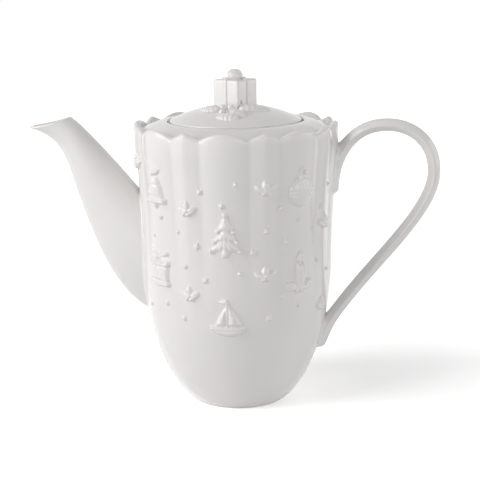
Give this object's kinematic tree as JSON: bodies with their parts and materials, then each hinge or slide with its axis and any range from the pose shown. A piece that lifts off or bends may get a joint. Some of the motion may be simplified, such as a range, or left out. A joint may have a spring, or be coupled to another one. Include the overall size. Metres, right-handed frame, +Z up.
{
  "type": "coffee pot",
  "caption": "White porcelain coffee pot: fluted body with scalloped collar and low relief, curved spout, loop handle, and a lift-off domed lid with a parcel-shaped knob.",
  "frame": {"origin": "centre of the foot ring, on the table", "axes": "+Z up along the pot's axis, +X towards the handle, -X towards the spout"},
  "size_m": [0.2682, 0.1328, 0.2176],
  "materials": {
    "glazed_porcelain": "clear glossy glaze over white porcelain"
  },
  "bodies": {
    "pot": {"pot_body": "glazed_porcelain", "lid_seat_ring": "glazed_porcelain", "spout": "glazed_porcelain", "handle": "glazed_porcelain", "relief_bell_front": "glazed_porcelain", "relief_drum_front": "glazed_porcelain", "relief_tree_front": "glazed_porcelain", "relief_boat_front": "glazed_porcelain", "relief_bauble_front": "glazed_porcelain", "relief_candle_front": "glazed_porcelain", "relief_spinning_top_back": "glazed_porcelain", "relief_tree_back": "glazed_porcelain", "relief_snowflake_back": "glazed_porcelain", "relief_bell_back": "glazed_porcelain", "relief_drum_back": "glazed_porcelain", "relief_bauble_back": "glazed_porcelain", "relief_sprig_front_1": "glazed_porcelain", "relief_sprig_front_2": "glazed_porcelain", "relief_sprig_front_3": "glazed_porcelain", "relief_sprig_front_4": "glazed_porcelain", "relief_sprig_front_5": "glazed_porcelain", "relief_sprig_front_6": "glazed_porcelain", "relief_sprig_front_7": "glazed_porcelain", "relief_sprig_back_1": "glazed_porcelain", "relief_sprig_back_2": "glazed_porcelain", "relief_sprig_back_3": "glazed_porcelain", "relief_sprig_back_4": "glazed_porcelain", "relief_sprig_back_5": "glazed_porcelain", "relief_sprig_back_6": "glazed_porcelain", "relief_sprig_back_7": "glazed_porcelain"},
    "lid": {"lid_cover": "glazed_porcelain", "lid_flange": "glazed_porcelain", "knob_parcel": "glazed_porcelain", "knob_ribbon": "glazed_porcelain", "bow_knot": "glazed_porcelain", "bow_loop_back": "glazed_porcelain", "bow_loop_front": "glazed_porcelain", "leaf_front_1": "glazed_porcelain", "leaf_front_2": "glazed_porcelain", "leaf_front_3": "glazed_porcelain", "leaf_front_4": "glazed_porcelain", "leaf_back_1": "glazed_porcelain", "leaf_back_2": "glazed_porcelain", "berry_front_1": "glazed_porcelain", "berry_front_2": "glazed_porcelain", "berry_front_3": "glazed_porcelain", "berry_back_1": "glazed_porcelain", "berry_back_2": "glazed_porcelain", "berry_back_3": "glazed_porcelain"}
  },
  "joints": [
    {"name": "lid_lift", "type": "slide", "parent": "pot", "child": "lid", "axis": [0, 0, 1], "range_m": [0, 0.06]}
  ]
}
